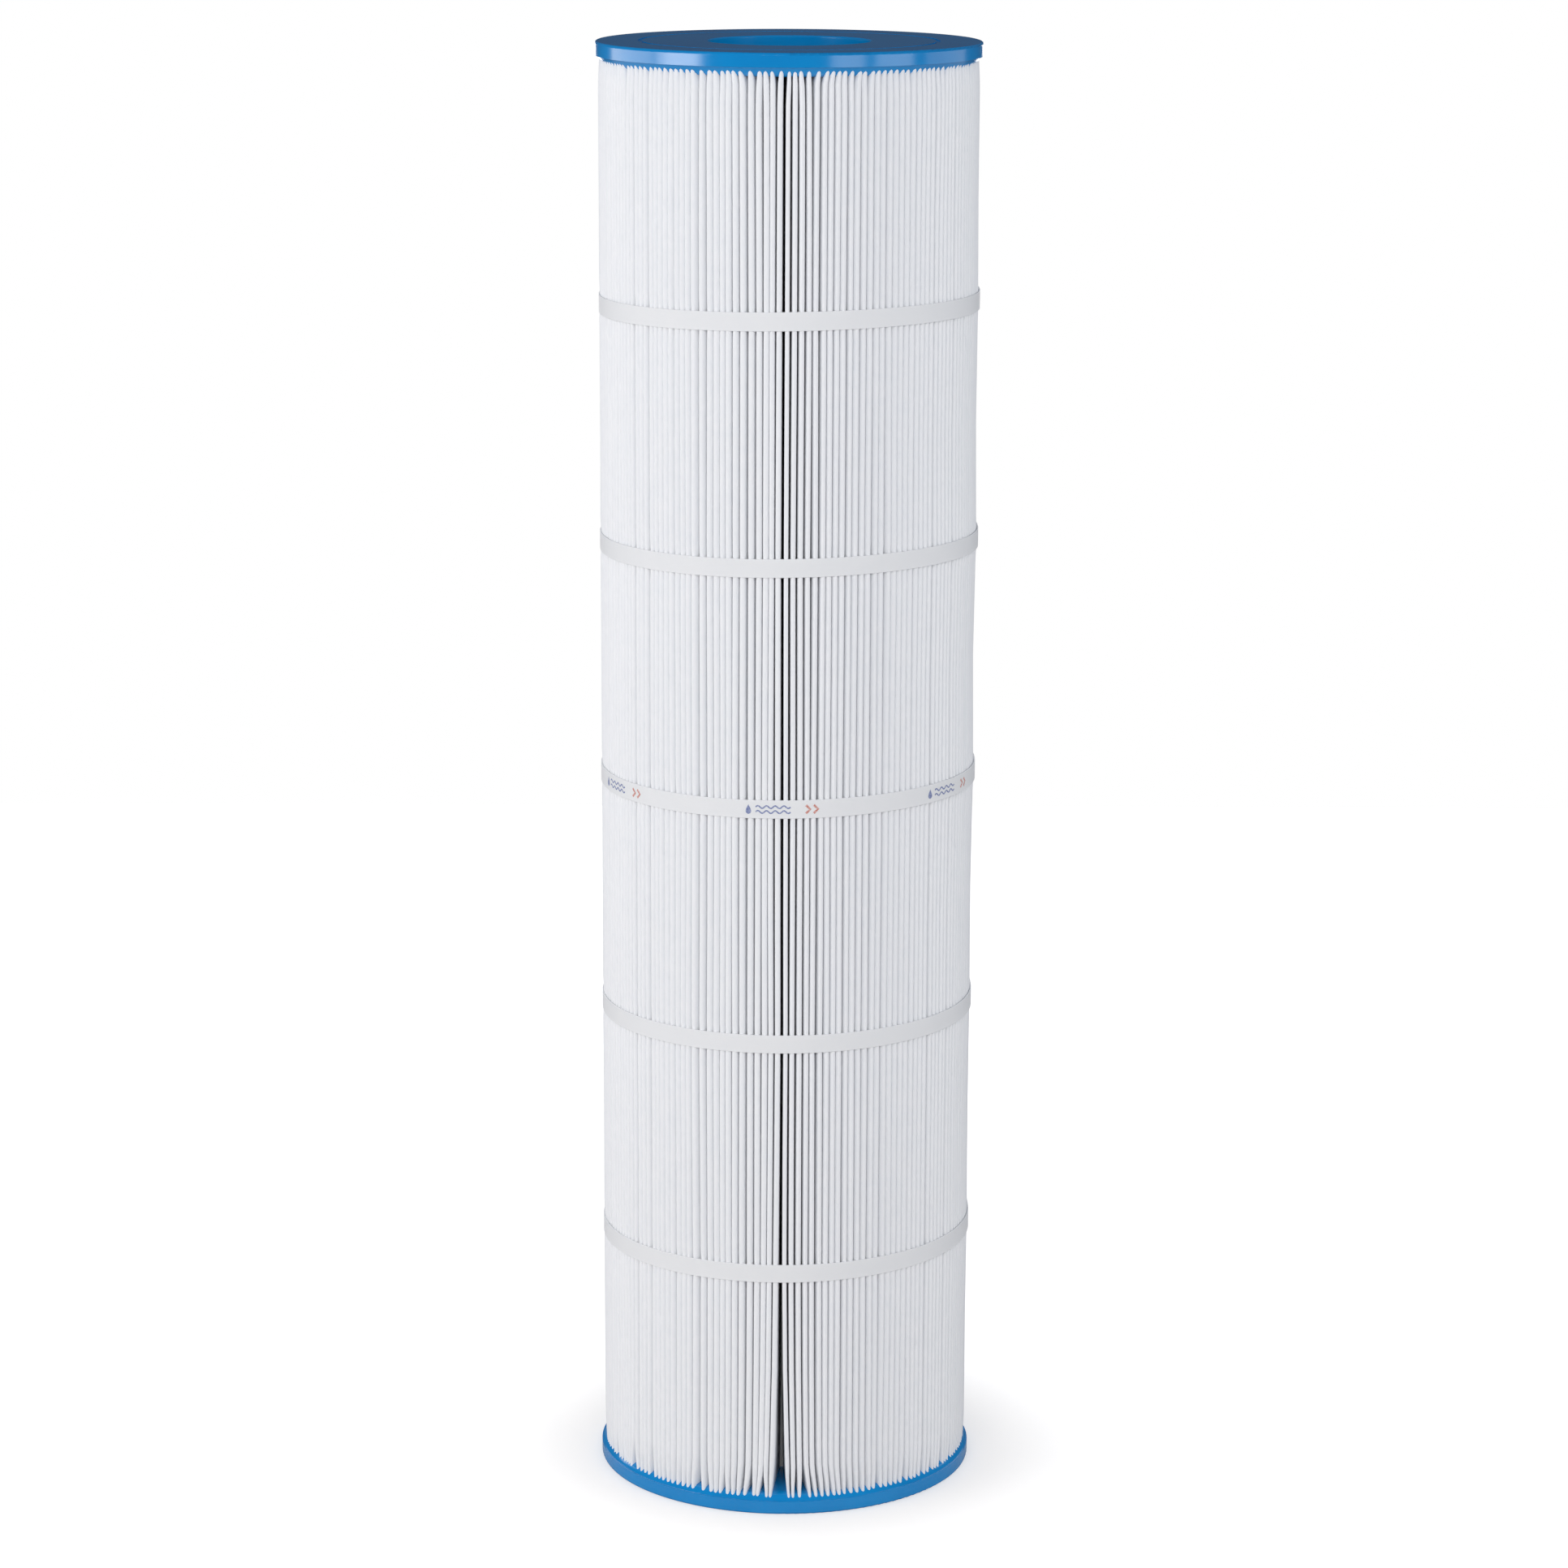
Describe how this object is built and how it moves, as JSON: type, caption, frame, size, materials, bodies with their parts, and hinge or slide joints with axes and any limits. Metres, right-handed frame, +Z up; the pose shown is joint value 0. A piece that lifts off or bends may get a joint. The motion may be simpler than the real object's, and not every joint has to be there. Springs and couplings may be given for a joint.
{
  "type": "pleated filter cartridge",
  "caption": "Tall pleated pool and spa filter cartridge: white pleated media round a perforated core, strapped, with cast end caps open at both ends.",
  "frame": {"origin": "centre of the bottom end cap's outer face, on the cartridge's axis", "axes": "+Z up along the cartridge's axis, -Y towards the side with the seam in the media, +X towards the side where the laps of the straps start, 16 degrees behind it"},
  "size_m": [0.178, 0.178, 0.681],
  "materials": {
    "urethane": "cast blue polyurethane, glossy, slightly soft",
    "media": "white spun-bonded polyester, fibrous and matte",
    "core": "white moulded plastic, satin",
    "strap": "translucent white plastic strap, satin",
    "hot_melt": "hot-melt adhesive, milky and waxy"
  },
  "bodies": {
    "root": {"bottom_end_cap": "urethane", "top_end_cap": "urethane", "pleated_media": "media", "seam_adhesive": "hot_melt", "core_section_1": "core", "core_section_2": "core", "core_section_3": "core", "core_section_4": "core", "core_section_5": "core", "hold_band_1": "strap", "hold_band_2": "strap", "hold_band_3": "strap", "hold_band_4": "strap", "hold_band_5": "strap", "band_adhesive_1": "hot_melt", "band_adhesive_2": "hot_melt", "band_adhesive_3": "hot_melt", "band_adhesive_4": "hot_melt", "band_adhesive_5": "hot_melt"}
  },
  "joints": []
}
